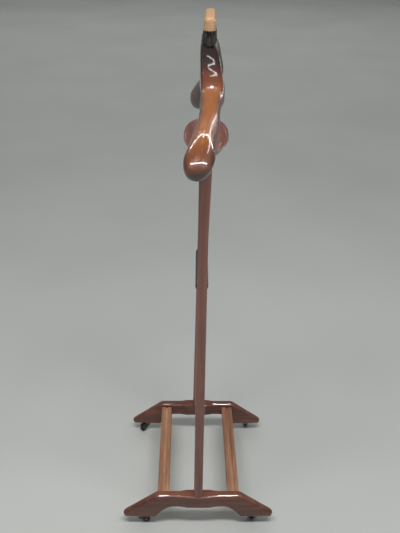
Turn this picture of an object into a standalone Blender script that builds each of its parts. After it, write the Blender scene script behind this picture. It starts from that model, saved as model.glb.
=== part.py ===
"""Rolling clothes valet of turned and shaped hardwood, in metres, +Z up.

+X runs along the coat hanger, -Y is the front, and the floor is z = 0. Two arched feet on
castors carry two posts, a shaped coat hanger with a lift-off clothes brush, an oval valet tray,
a trouser bar and two shoe rails. Pieces that touch are kept GAP apart.
"""

import math

import bmesh
import bpy
from mathutils import Matrix, Vector

# Whole object
GAP = 0.0003
OVERCUT = 0.002
HALF_SPAN = 0.160  # post and foot centre planes from the middle
RACK = 0.0116  # how far the left post leans back, as a share of its height

# Arched feet
FOOT_HALF_LENGTH = 0.170
FOOT_HALF_WIDTH = 0.010
FOOT_TIP_HALF_WIDTH = 0.0085
FOOT_BOSS = 0.004  # how far each side swells round the post
FOOT_TOP_Z = 0.087
FOOT_ARCH_Z = 0.055
FOOT_BOTTOM_Z = 0.0235
FOOT_SHOULDER_Y = 0.093
FOOT_ARCH_FLAT_Y = 0.060
FOOT_PAD_Y = 0.0975
FOOT_TIP_RADIUS = 0.0055
FOOT_TIP_CENTRE_Y = FOOT_HALF_LENGTH - FOOT_TIP_RADIUS + 0.0002
FOOT_NOSE = 0.009  # the length over which the tip rounds off in plan
FOOT_TOP_RADIUS = 0.005
FOOT_BOTTOM_RADIUS = 0.0025

# Posts
POST_HALF_X = 0.013
POST_FRONT_Y = -0.0100
POST_BACK_Y = 0.0090
POST_FLARED_BACK_Y = 0.0135
POST_MID_Y = -0.0005
POST_FLARE_START_Z = 0.70
POST_FLARE_END_Z = 0.90
POST_RAW_TOP_Z = 0.918  # before the hanger's seat is cut from it
POST_RADIUS = 0.004

# Shoe rails
RAIL_Y = 0.079
RAIL_HALF_WIDTH = 0.0135
RAIL_TOP_Z = 0.080
RAIL_BOTTOM_Z = 0.060
RAIL_GROOVE_HALF = 0.0045
RAIL_GROOVE_DEPTH = 0.0025
RAIL_RADIUS = 0.003

# Trouser bar and its sleeve
BAR_Z = 0.575
BAR_RADIUS = 0.007
BAR_LET_IN = 0.0075
SLEEVE_RADIUS = 0.0132
SLEEVE_HALF = 0.078

# Valet tray and the crossbar under it
TRAY_HALF_X = 0.110
TRAY_HALF_Y = 0.0435
TRAY_Y = 0.0015
TRAY_RIM_Z = 0.870
TRAY_BOTTOM_Z = 0.852
TRAY_FLOOR_Z = 0.857
TRAY_RIM = 0.0045
TRAY_FLARE = 0.014  # how much further out the rim is than the base
CROSSBAR_HALF_Y = 0.009
CROSSBAR_HEIGHT = 0.024
CROSSBAR_RADIUS = 0.003
TRAY_SCREW_X = 0.050

# Clothes brush, and the trough in the hanger's neck that it lies in
BRUSH_Y = 0.0032
BRUSH_HALF_LENGTH = 0.070
BRUSH_HALF_WIDTH = 0.0106
BRUSH_TOP_Z = 1.0900
BRUSH_BASE_Z = 1.0685
BRISTLE_HALF_LENGTH = 0.066
BRISTLE_RADIUS = 0.0130
TROUGH_RADIUS = 0.0136
TROUGH_Z = 1.0545

# Dowels and screws
DOWEL_RADIUS = 0.004
DOWEL_HALF = 0.014
POST_SCREW_RADIUS = 0.003
POST_SCREW_HEAD_RADIUS = 0.005
POST_SCREW_HEAD = 0.005
POST_SCREW_RECESS = 0.008
POST_SCREW_REACH = 0.040
TRAY_SCREW_RADIUS = 0.00175
TRAY_SCREW_HEAD_RADIUS = 0.0035
TRAY_SCREW_HEAD = 0.0022
TRAY_SCREW_BITE = 0.003

# Castors
CASTOR_Y = 0.132
CASTOR_TRAIL = 0.013
WHEEL_RADIUS = 0.009
WHEEL_HALF_WIDTH = 0.004
AXLE_RADIUS = 0.0014
STEM_RADIUS = 0.0025
STEM_LOW_Z = 0.0166
STEM_TOP_Z = 0.045
SOCKET_RADIUS = 0.0042
SOCKET_TOP_Z = 0.047
FLANGE_RADIUS = 0.0085
FLANGE_THICK = 0.0014
FORK_HALF_WIDTH = 0.0062
FORK_SLOT_HALF = 0.0047
FORK_TOP_Z = 0.0214
FORK_BACK_X = -0.0050
FORK_BACK_LOW_Z = 0.0160
FORK_BOSS_RADIUS = 0.0040  # round the axle
FORK_NOSE_X = 0.0085
FORK_NOSE_Z = 0.0145
FORK_NOSE_REACH = 0.0120
FORK_SLOT_TOP_Z = 0.0190
# Corner: side along X, side along Y, the way the castor trails, in degrees from +X.
CASTORS = {
    "front_right": (1, -1, 100),
    "rear_right": (1, 1, -143),
    "front_left": (-1, -1, -50),
    "rear_left": (-1, 1, 170),
}

ROUND = 24  # sides of a turned piece that shows
SMALL_ROUND = 16


def clear_scene():
    for old in list(bpy.data.objects):
        bpy.data.objects.remove(old, do_unlink=True)


def make_material(name, colour, roughness, metallic=0.0):
    """A plain Principled material; colour is linear RGB."""
    material = bpy.data.materials.new(name)
    material.use_nodes = True
    shader = material.node_tree.nodes["Principled BSDF"]
    shader.inputs["Base Color"].default_value = (*colour, 1.0)
    shader.inputs["Roughness"].default_value = roughness
    shader.inputs["Metallic"].default_value = metallic
    return material


def add_object(name, bm, material, parent=None):
    """Links a closed mesh as an object with its normals outward, smooth but for its hard edges."""
    bmesh.ops.recalc_face_normals(bm, faces=bm.faces)
    mesh = bpy.data.meshes.new(name)
    bm.to_mesh(mesh)
    bm.free()
    if material is not None:
        mesh.materials.append(material)
    mesh.shade_smooth()
    mesh.set_sharp_from_angle(angle=math.radians(35))
    obj = bpy.data.objects.new(name, mesh)
    bpy.context.scene.collection.objects.link(obj)
    obj.parent = parent
    return obj


def loft(rings, hollow=False):
    """A closed mesh through rings of equal length: capped, or joined end to start if hollow."""
    bm = bmesh.new()
    rows = [[bm.verts.new(point) for point in ring] for ring in rings]
    pairs = list(zip(rows, rows[1:]))
    if hollow:
        pairs.append((rows[-1], rows[0]))
    else:
        bm.faces.new(rows[0])
        bm.faces.new(rows[-1])
    for low, high in pairs:
        for k, corner in enumerate(low):
            j = (k + 1) % len(low)
            bm.faces.new((corner, low[j], high[j], high[k]))
    return bm


def circle(radius, height, sides):
    turns = [2 * math.pi * k / sides for k in range(sides)]
    return [(radius * math.cos(a), radius * math.sin(a), height) for a in turns]


def turned(profile, sides=ROUND, hollow=False):
    """A solid of revolution about Z; profile is (radius, height) pairs."""
    return loft([circle(r, h, sides) for r, h in profile], hollow)


def along(bm, start, end):
    """Lays a mesh made along +Z from its origin so that it runs from start towards end."""
    direction = Vector(end) - Vector(start)
    turn = direction.to_track_quat("Z", "Y").to_matrix().to_4x4()
    bm.transform(Matrix.Translation(start) @ turn)
    return bm


def rod(start, end, radius, sides=SMALL_ROUND):
    length = (Vector(end) - Vector(start)).length
    return along(turned([(radius, 0), (radius, length)], sides), start, end)


def rounded_rectangle(half_u, low_v, high_v, low_radius, high_radius, steps=2):
    """Corner points, anticlockwise from the lower right, with steps facets to a corner."""
    corners = (
        (half_u - low_radius, low_v + low_radius, low_radius, -90),
        (half_u - high_radius, high_v - high_radius, high_radius, 0),
        (-half_u + high_radius, high_v - high_radius, high_radius, 90),
        (-half_u + low_radius, low_v + low_radius, low_radius, 180),
    )
    points = []
    for u, v, radius, start in corners:
        for k in range(steps + 1):
            a = math.radians(start + 90 * k / steps)
            points.append((u + radius * math.cos(a), v + radius * math.sin(a)))
    return points


def smooth_step(t):
    t = min(max(t, 0.0), 1.0)
    return t * t * (3 - 2 * t)


def through(points, x):
    """The value at x of a smooth curve through (x, value) points."""
    last = len(points) - 1
    k = max(i for i in range(last) if points[i][0] <= x or i == 0)

    def slope(i):
        a, b = points[max(i - 1, 0)], points[min(i + 1, last)]
        return (b[1] - a[1]) / (b[0] - a[0])

    (x0, v0), (x1, v1) = points[k], points[k + 1]
    step = x1 - x0
    t = (x - x0) / step
    h = t * t * (3 - 2 * t)
    rise = (t**3 - 2 * t * t + t) * slope(k) + (t**3 - t * t) * slope(k + 1)
    return v0 + (v1 - v0) * h + rise * step


def cut(target, bm, label):
    """Takes a closed shape out of target, leaving the cutter as a hidden guide."""
    cutter = add_object(f"cut_{target.name}_{label}", bm, None)
    cutter.hide_render = True
    cutter.display_type = "WIRE"
    modifier = target.modifiers.new(label, "BOOLEAN")
    modifier.operation = "DIFFERENCE"
    modifier.solver = "EXACT"
    modifier.object = cutter


# Feet


def foot_top(y):
    """Height of the top of a foot: level in the middle, then a slope that meets the round tip."""
    if y <= FOOT_SHOULDER_Y:
        return FOOT_TOP_Z
    tip_y = FOOT_TIP_CENTRE_Y
    tip_z = FOOT_BOTTOM_Z + FOOT_TIP_RADIUS
    run, drop = tip_y - FOOT_SHOULDER_Y, FOOT_TOP_Z - tip_z
    tilt = math.atan2(drop, run) - math.asin(FOOT_TIP_RADIUS / math.hypot(run, drop))
    if y <= tip_y + FOOT_TIP_RADIUS * math.sin(tilt):
        return FOOT_TOP_Z - (y - FOOT_SHOULDER_Y) * math.tan(tilt)
    return tip_z + math.sqrt(max(FOOT_TIP_RADIUS**2 - (y - tip_y) ** 2, 0))


def foot_bottom(y):
    """Height of its underside: a flat arch that curves down to the pad over the castor."""
    if y <= FOOT_PAD_Y:
        t = max(0.0, (y - FOOT_ARCH_FLAT_Y) / (FOOT_PAD_Y - FOOT_ARCH_FLAT_Y))
        return FOOT_ARCH_Z - (FOOT_ARCH_Z - FOOT_BOTTOM_Z) * t**1.6
    tip_y = FOOT_TIP_CENTRE_Y
    if y <= tip_y:
        return FOOT_BOTTOM_Z
    reach = math.sqrt(max(FOOT_TIP_RADIUS**2 - (y - tip_y) ** 2, 0))
    return FOOT_BOTTOM_Z + FOOT_TIP_RADIUS - reach


def foot_half_width(y):
    """Half the foot's thickness: a boss at the post, a slight taper, and a rounded tip."""
    boss = FOOT_BOSS * smooth_step((0.045 - y) / 0.023)
    taper = (FOOT_HALF_WIDTH - FOOT_TIP_HALF_WIDTH) * smooth_step((y - FOOT_SHOULDER_Y) / 0.06)
    t = max(0.0, (y - FOOT_HALF_LENGTH + FOOT_NOSE) / FOOT_NOSE)
    return (FOOT_HALF_WIDTH + boss - taper) * math.sqrt(1 - 0.9 * t**2)


def foot_ring(y):
    low, high = foot_bottom(abs(y)), foot_top(abs(y))
    most = 0.45 * (high - low)
    ring = rounded_rectangle(
        foot_half_width(abs(y)),
        low,
        high,
        min(FOOT_BOTTOM_RADIUS, most),
        min(FOOT_TOP_RADIUS, most),
    )
    return [(x, y, z) for x, z in ring]


def make_foot(name, side, material):
    """An arched foot with its holes; it is turned half round for the left side."""
    half = [0.0, 0.022, 0.030, 0.037, 0.045, FOOT_ARCH_FLAT_Y, 0.070, 0.079, 0.087]
    half += [FOOT_SHOULDER_Y, FOOT_PAD_Y, 0.120, 0.145, 0.161, 0.1645, 0.1672, 0.1688]
    half += [FOOT_HALF_LENGTH]
    stations = [-y for y in reversed(half[1:])] + half
    foot = add_object(name, loft([foot_ring(y) for y in stations]), material)
    foot.location.x = side * HALF_SPAN
    foot.rotation_euler.z = 0 if side > 0 else math.pi
    x = side * HALF_SPAN
    screw_y = POST_MID_Y
    shank = rod((x, screw_y, FOOT_BOTTOM_Z), (x, screw_y, 0.1), POST_SCREW_RADIUS + GAP)
    cut(foot, shank, "screw_hole")
    recess_top = FOOT_ARCH_Z + POST_SCREW_RECESS
    recess_radius = POST_SCREW_HEAD_RADIUS + 0.001
    head = rod((x, screw_y, FOOT_BOTTOM_Z), (x, screw_y, recess_top), recess_radius)
    cut(foot, head, "screw_recess")
    inner = HALF_SPAN - FOOT_HALF_WIDTH
    for label, sign in (("front", -1), ("rear", 1)):
        y = sign * RAIL_Y
        z = (RAIL_TOP_Z + RAIL_BOTTOM_Z) / 2
        deep = side * (inner + DOWEL_HALF + GAP)
        hole = rod((side * (inner - OVERCUT), y, z), (deep, y, z), DOWEL_RADIUS + GAP)
        cut(foot, hole, f"{label}_dowel_hole")
        y = sign * CASTOR_Y
        top = SOCKET_TOP_Z + GAP
        hole = rod((x, y, FOOT_BOTTOM_Z - OVERCUT), (x, y, top), SOCKET_RADIUS + GAP)
        cut(foot, hole, f"{label}_socket_hole")


# Posts, rails and bars


def post_ring(z):
    flare = smooth_step((z - POST_FLARE_START_Z) / (POST_FLARE_END_Z - POST_FLARE_START_Z))
    back = POST_BACK_Y + (POST_FLARED_BACK_Y - POST_BACK_Y) * flare
    ring = rounded_rectangle(POST_HALF_X, POST_FRONT_Y, back, POST_RADIUS, POST_RADIUS)
    return [(x, y, z) for x, y in ring]


def make_post(name, side, material):
    """A post with a seat cut to the hanger's underside, and sockets for the bars and fixings."""
    heights = [FOOT_TOP_Z + GAP, POST_FLARE_START_Z, 0.74, 0.78, 0.82, 0.86, POST_FLARE_END_Z]
    heights.append(POST_RAW_TOP_Z)
    post = add_object(name, loft([post_ring(z) for z in heights]), material)
    post.location.x = side * HALF_SPAN
    x = side * HALF_SPAN
    cut(post, hanger_shape(GAP), "hanger_seat")
    start = (x, POST_MID_Y, FOOT_TOP_Z - OVERCUT)
    end = (x, POST_MID_Y, FOOT_TOP_Z + POST_SCREW_REACH + GAP)
    cut(post, rod(start, end, POST_SCREW_RADIUS + GAP), "screw_hole")
    bottom, top = hanger_dowel_ends(side, GAP)
    cut(post, rod(bottom, top, DOWEL_RADIUS + GAP), "hanger_dowel_hole")
    inner = HALF_SPAN - POST_HALF_X
    mouth = side * (inner - OVERCUT)
    deep = side * (inner + BAR_LET_IN + GAP)
    socket = rod((mouth, POST_MID_Y, BAR_Z), (deep, POST_MID_Y, BAR_Z), BAR_RADIUS + GAP, ROUND)
    cut(post, socket, "bar_socket")
    z = crossbar_mid_z()
    deep = side * (inner + DOWEL_HALF + GAP)
    hole = rod((mouth, 0, z), (deep, 0, z), DOWEL_RADIUS + GAP)
    cut(post, hole, "crossbar_dowel_hole")


def rail_ring(x):
    """A rail's section: level top with a shallow groove along it, and rounded upper edges."""
    outer = rounded_rectangle(RAIL_HALF_WIDTH, RAIL_BOTTOM_Z, RAIL_TOP_Z, 0.001, RAIL_RADIUS)
    half, low = RAIL_GROOVE_HALF, RAIL_TOP_Z - RAIL_GROOVE_DEPTH
    groove = [(half, RAIL_TOP_Z), (half - 0.001, low), (0.001 - half, low), (-half, RAIL_TOP_Z)]
    section = outer[:6] + groove + outer[6:]
    return [(x, y, z) for y, z in section]


def make_rail(name, sign, material):
    end = HALF_SPAN - FOOT_HALF_WIDTH - GAP
    rail = add_object(name, loft([rail_ring(-end), rail_ring(end)]), material)
    rail.location.y = sign * RAIL_Y
    y, z = sign * RAIL_Y, (RAIL_TOP_Z + RAIL_BOTTOM_Z) / 2
    for label, side in (("right", 1), ("left", -1)):
        deep = side * (end - DOWEL_HALF)
        hole = rod((side * (end + OVERCUT), y, z), (deep, y, z), DOWEL_RADIUS + GAP)
        cut(rail, hole, f"{label}_dowel_hole")


def crossbar_mid_z():
    return TRAY_BOTTOM_Z - GAP - CROSSBAR_HEIGHT / 2


def make_crossbar(material):
    end = HALF_SPAN - POST_HALF_X - GAP
    low, high = -CROSSBAR_HEIGHT / 2, CROSSBAR_HEIGHT / 2
    ring = rounded_rectangle(CROSSBAR_HALF_Y, low, high, CROSSBAR_RADIUS, 0.001)
    shape = loft([[(x, y, z) for y, z in ring] for x in (-end, end)])
    bar = add_object("tray_crossbar", shape, material)
    bar.location.z = crossbar_mid_z()
    z = crossbar_mid_z()
    for label, side in (("right", 1), ("left", -1)):
        deep = side * (end - DOWEL_HALF)
        hole = rod((side * (end + OVERCUT), 0, z), (deep, 0, z), DOWEL_RADIUS + GAP)
        cut(bar, hole, f"{label}_dowel_hole")
        x = side * TRAY_SCREW_X
        hole = rod((x, 0, z + 2 * low), (x, 0, z + 2 * high), TRAY_SCREW_RADIUS + GAP)
        cut(bar, hole, f"{label}_screw_hole")


def make_trouser_bar(wood, grip):
    end = HALF_SPAN - POST_HALF_X + BAR_LET_IN
    ease = 0.001
    profile = [(BAR_RADIUS - ease, 0), (BAR_RADIUS, ease)]
    profile += [(BAR_RADIUS, 2 * end - ease), (BAR_RADIUS - ease, 2 * end)]
    shape = along(turned(profile), (-end, 0, 0), (end, 0, 0))
    bar = add_object("trouser_bar", shape, wood)
    inner, outer, long = BAR_RADIUS + GAP, SLEEVE_RADIUS, 2 * SLEEVE_HALF
    profile = [(inner, 0), (outer - ease, 0), (outer, ease), (outer, long - ease)]
    profile += [(outer - ease, long), (inner, long)]
    shape = along(turned(profile, hollow=True), (-SLEEVE_HALF, 0, 0), (SLEEVE_HALF, 0, 0))
    sleeve = add_object("trouser_bar_sleeve", shape, grip)
    for piece in (bar, sleeve):
        piece.location = (0, POST_MID_Y, BAR_Z)


def tray_ring(inset, z, sides=40):
    """An oval with slightly squared ends, inset from the rim's outer edge."""
    points = []
    for k in range(sides):
        a = 2 * math.pi * k / sides
        squared = 2 / 2.3
        u, v = math.cos(a), math.sin(a)
        x = math.copysign(abs(u) ** squared, u) * (TRAY_HALF_X - inset)
        y = math.copysign(abs(v) ** squared, v) * (TRAY_HALF_Y - inset)
        points.append((x, y, z))
    return points


def make_tray(material):
    rise = TRAY_RIM_Z - TRAY_BOTTOM_Z
    rings = [tray_ring(TRAY_FLARE, TRAY_BOTTOM_Z)]
    for t in (0.12, 0.35, 0.65):
        rings.append(tray_ring(TRAY_FLARE * (1 - t**0.6), TRAY_BOTTOM_Z + rise * t))
    rings.append(tray_ring(0, TRAY_RIM_Z - 0.0015))
    rings.append(tray_ring(0.0012, TRAY_RIM_Z))
    rings.append(tray_ring(TRAY_RIM - 0.0012, TRAY_RIM_Z))
    rings.append(tray_ring(TRAY_RIM, TRAY_RIM_Z - 0.0015))
    depth = TRAY_RIM_Z - TRAY_FLOOR_Z
    for t in (0.65, 0.3, 0.08):
        rings.append(tray_ring(TRAY_RIM + TRAY_FLARE * (1 - t**0.6), TRAY_FLOOR_Z + depth * t))
    rings.append(tray_ring(TRAY_RIM + TRAY_FLARE + 0.003, TRAY_FLOOR_Z))
    tray = add_object("valet_tray", loft(rings), material)
    tray.location.y = TRAY_Y
    for label, side in (("right", 1), ("left", -1)):
        x = side * TRAY_SCREW_X
        top = TRAY_BOTTOM_Z + TRAY_SCREW_BITE + GAP
        hole = rod((x, 0, TRAY_BOTTOM_Z - OVERCUT), (x, 0, top), TRAY_SCREW_RADIUS + GAP)
        cut(tray, hole, f"{label}_screw_hole")


# Coat hanger. Each line gives (distance from the middle, value).

HANGER_TIP = 0.246
HANGER_TOP = [(0, 1.0475), (0.052, 1.0470), (0.066, 1.038), (0.080, 1.010), (0.092, 0.987)]
HANGER_TOP += [(0.110, 0.974), (0.135, 0.966), (0.160, 0.957), (0.185, 0.948), (0.205, 0.939)]
HANGER_TOP += [(0.222, 0.929), (HANGER_TIP, 0.912)]
HANGER_BOTTOM = [(0, 0.965), (0.050, 0.957), (0.100, 0.940), (0.160, 0.912), (0.190, 0.884)]
HANGER_BOTTOM += [(0.215, 0.862), (0.233, 0.8535), (HANGER_TIP, 0.852)]
HANGER_MIDDLE = [(0, 0.002), (0.050, 0.003), (0.075, 0.0080), (0.090, 0.0112), (0.110, 0.0085)]
HANGER_MIDDLE += [(0.130, 0.0070), (0.160, 0.0045), (0.190, -0.0025), (0.220, -0.0085)]
HANGER_MIDDLE += [(HANGER_TIP, -0.0105)]
HANGER_HALF = [(0, 0.0155), (0.050, 0.016), (0.075, 0.0190), (0.090, 0.0208), (0.110, 0.0192)]
HANGER_HALF += [(0.130, 0.0180), (0.160, 0.0190), (0.190, 0.0218), (0.220, 0.0260)]
HANGER_HALF += [(HANGER_TIP, 0.0265)]
HANGER_SQUARE = [(0, 5.0), (0.070, 4.0), (0.110, 2.6), (0.160, 2.3), (HANGER_TIP, 2.1)]
HANGER_LEAN = [(0, -0.36), (0.060, -0.36), (0.090, -0.1), (0.120, 0.0), (HANGER_TIP, 0.0)]
HANGER_SHEAR = [(0, 0), (0.130, 0), (0.180, 0.08), (0.215, 0.15), (HANGER_TIP, 0.15)]
HANGER_NARROW = [(0, 0), (0.120, 0), (0.180, 0.35), (HANGER_TIP, 0.38)]
HANGER_END = 0.030  # the length over which the end rounds off


def hanger_ring(x, clearance, sides):
    """A section across the arm, which shrinks along a rounded end."""
    far = abs(x)
    top, bottom = through(HANGER_TOP, far), through(HANGER_BOTTOM, far)
    mid_y, half_y = through(HANGER_MIDDLE, far), through(HANGER_HALF, far)
    square, lean = 2 / through(HANGER_SQUARE, far), through(HANGER_LEAN, far)
    shear, narrow = through(HANGER_SHEAR, far), through(HANGER_NARROW, far)
    t = max(0.0, (far - HANGER_TIP + HANGER_END) / HANGER_END)
    shrink = math.sqrt(max(1 - t**2.4, 0.0))
    mid_z, half_z = (top + bottom) / 2, (top - bottom) / 2 * shrink
    half_y *= shrink
    ring = []
    for k in range(sides):
        a = 2 * math.pi * k / sides
        u = math.copysign(abs(math.cos(a)) ** square, math.cos(a))
        v = math.copysign(abs(math.sin(a)) ** square, math.sin(a))
        y = u * (half_y * (1 - narrow * max(v, 0)) + clearance)
        z = v * (half_z + clearance) + lean * y * max(v, 0)
        y += shear * z
        ring.append((x + math.copysign(clearance * t, x), mid_y + y, mid_z + z))
    return ring


def hanger_shape(clearance=0.0, sides=20):
    half = [0.0, 0.030, 0.052, 0.060, 0.067, 0.074, 0.081, 0.088, 0.096, 0.108, 0.122, 0.140]
    half += [0.160, 0.180, 0.200, 0.214, 0.224, 0.2315, 0.2370, 0.2410, 0.2438, 0.2454, 0.2459]
    stations = [-x for x in reversed(half[1:])] + half
    return loft([hanger_ring(x, clearance, sides) for x in stations])


def trough_shape():
    """The brush's trough: a half-round groove that opens upwards and at both ends."""
    end, high = 0.13, BRUSH_TOP_Z + 0.01
    outline = [(TROUGH_RADIUS, high), (-TROUGH_RADIUS, high)]
    for k in range(13):
        a = math.pi + math.pi * k / 12
        outline.append((TROUGH_RADIUS * math.cos(a), TROUGH_Z + TROUGH_RADIUS * math.sin(a)))
    return loft([[(x, BRUSH_Y + y, z) for y, z in outline] for x in (-end, end)])


def hanger_dowel_ends(side, extra=0.0):
    x, y = side * HALF_SPAN, 0.001
    seat = through(HANGER_BOTTOM, HALF_SPAN)
    return (x, y, seat - DOWEL_HALF - extra), (x, y, seat + DOWEL_HALF + extra)


def make_hanger(material):
    hanger = add_object("coat_hanger", hanger_shape(), material)
    cut(hanger, trough_shape(), "brush_trough")
    for label, side in (("right", 1), ("left", -1)):
        bottom, top = hanger_dowel_ends(side, GAP)
        cut(hanger, rod(bottom, top, DOWEL_RADIUS + GAP), f"{label}_dowel_hole")


# Clothes brush


def brush_ring(x, half_length):
    """A section of the brush's back: flat below, drawn in at the sides and crowned on top."""
    end = 0.012
    t = max(0.0, (abs(x) - half_length + end) / end)
    half = BRUSH_HALF_WIDTH * math.sqrt(max(1 - t * t, 0.0)) + 0.0008
    tall = (BRUSH_TOP_Z - BRUSH_BASE_Z) * (1 - 0.10 * t * t)
    profile = [(1.0, 0.0), (0.97, 0.30), (0.91, 0.62), (0.76, 0.86), (0.43, 0.98)]
    right = [(half * u, v * tall) for u, v in profile]
    left = [(-y, z) for y, z in reversed(right)]
    section = right + [(0.0, tall)] + left
    return [(x, y, z) for y, z in section]


def make_brush(wood, hair):
    origin = bpy.data.objects.new("clothes_brush", None)
    bpy.context.scene.collection.objects.link(origin)
    origin.location = (0, BRUSH_Y, BRUSH_BASE_Z)
    half = [0.0, 0.030, 0.058, 0.063, 0.0665, 0.0690, BRUSH_HALF_LENGTH]
    stations = [-x for x in reversed(half[1:])] + half
    back = loft([brush_ring(x, BRUSH_HALF_LENGTH) for x in stations])
    add_object("brush_back", back, wood, origin)
    low = TROUGH_Z - BRUSH_BASE_Z
    outline = [(BRUSH_HALF_WIDTH - 0.0005, -GAP), (0.5 * GAP - BRUSH_HALF_WIDTH + 0.0005, -GAP)]
    for k in range(13):
        a = math.pi + math.pi * k / 12
        outline.append((BRISTLE_RADIUS * math.cos(a), low + BRISTLE_RADIUS * math.sin(a)))
    ends = (-BRISTLE_HALF_LENGTH, BRISTLE_HALF_LENGTH)
    add_object("brush_bristles", loft([[(x, y, z) for y, z in outline] for x in ends]), hair, origin)


# Dowels and screws


def make_dowel(name, start, end, material):
    """A straight dowel with eased ends, on its own middle."""
    length, ease = (Vector(end) - Vector(start)).length, 0.0008
    profile = [(DOWEL_RADIUS - ease, 0), (DOWEL_RADIUS, ease)]
    profile += [(DOWEL_RADIUS, length - ease), (DOWEL_RADIUS - ease, length)]
    middle = (Vector(start) + Vector(end)) / 2
    shape = along(turned(profile, SMALL_ROUND), Vector(start) - middle, Vector(end) - middle)
    add_object(name, shape, material).location = middle


def make_screw(name, seat, shank, length, head, head_height, material):
    """A pan-headed screw that points up; seat is the point under its head."""
    profile = [(head * 0.8, -head_height), (head, -head_height * 0.6), (head, 0), (shank, 0)]
    profile += [(shank, length - shank), (shank * 0.35, length)]
    screw = add_object(name, turned(profile, SMALL_ROUND), material)
    screw.location = seat
    return screw


def make_fixings(wood, steel):
    inner = HALF_SPAN - FOOT_HALF_WIDTH
    rail_z = (RAIL_TOP_Z + RAIL_BOTTOM_Z) / 2
    half = DOWEL_HALF - GAP
    post_inner = HALF_SPAN - POST_HALF_X
    seat_z = FOOT_ARCH_Z + POST_SCREW_RECESS - GAP
    for label, side in (("right", 1), ("left", -1)):
        for place, sign in (("front", -1), ("rear", 1)):
            ends = [(side * (inner + k * half), sign * RAIL_Y, rail_z) for k in (-1, 1)]
            make_dowel(f"{place}_{label}_rail_dowel", *ends, wood)
        make_dowel(f"{label}_hanger_dowel", *hanger_dowel_ends(side), wood)
        ends = [(side * (post_inner + k * half), 0, crossbar_mid_z()) for k in (-1, 1)]
        make_dowel(f"{label}_crossbar_dowel", *ends, wood)
        seat = (side * HALF_SPAN, POST_MID_Y, seat_z)
        reach = FOOT_TOP_Z + POST_SCREW_REACH - seat_z
        sizes = (POST_SCREW_RADIUS, reach, POST_SCREW_HEAD_RADIUS, POST_SCREW_HEAD)
        make_screw(f"{label}_post_screw", seat, *sizes, steel)
        seat = Vector((side * TRAY_SCREW_X, 0, TRAY_BOTTOM_Z - CROSSBAR_HEIGHT - 2 * GAP))
        reach = CROSSBAR_HEIGHT + 2 * GAP + TRAY_SCREW_BITE
        sizes = (TRAY_SCREW_RADIUS, reach, TRAY_SCREW_HEAD_RADIUS, TRAY_SCREW_HEAD)
        make_screw(f"{label}_tray_screw", seat, *sizes, steel)


# Castors, each made about its own swivel axis, trailing along its own +X


def fork_outline():
    """The side view of a fork: stem boss, flat top, a nose over the wheel and a round axle boss."""
    ease = 0.0010
    points = [(FORK_BACK_X, FORK_TOP_Z - ease), (FORK_BACK_X, FORK_BACK_LOW_Z)]
    for k in range(5):
        a = math.radians(200 + 35 * k)
        x = CASTOR_TRAIL + FORK_BOSS_RADIUS * math.cos(a)
        points.append((x, WHEEL_RADIUS + FORK_BOSS_RADIUS * math.sin(a)))
    for k in range(5):
        a = math.radians(5 + 20 * k)
        z = FORK_NOSE_Z + (FORK_TOP_Z - FORK_NOSE_Z) * math.sin(a)
        points.append((FORK_NOSE_X + FORK_NOSE_REACH * math.cos(a), z))
    points.append((FORK_BACK_X + ease, FORK_TOP_Z))
    return points


def wheel_profile():
    """Half a wheel's section, from its bore out to the middle of its tread."""
    half, bore = WHEEL_HALF_WIDTH, AXLE_RADIUS + GAP
    hub, web, rim = 0.0032, 0.0036, 0.0064
    points = [(bore, -half - GAP), (hub, -half - GAP), (web, 0.0007 - half), (rim, 0.0007 - half)]
    points += [(rim + 0.0005, -half), (WHEEL_RADIUS - 0.0012, -half)]
    points += [(WHEEL_RADIUS - 0.0003, 0.0006 - half), (WHEEL_RADIUS, 0.0018 - half)]
    return points


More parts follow.
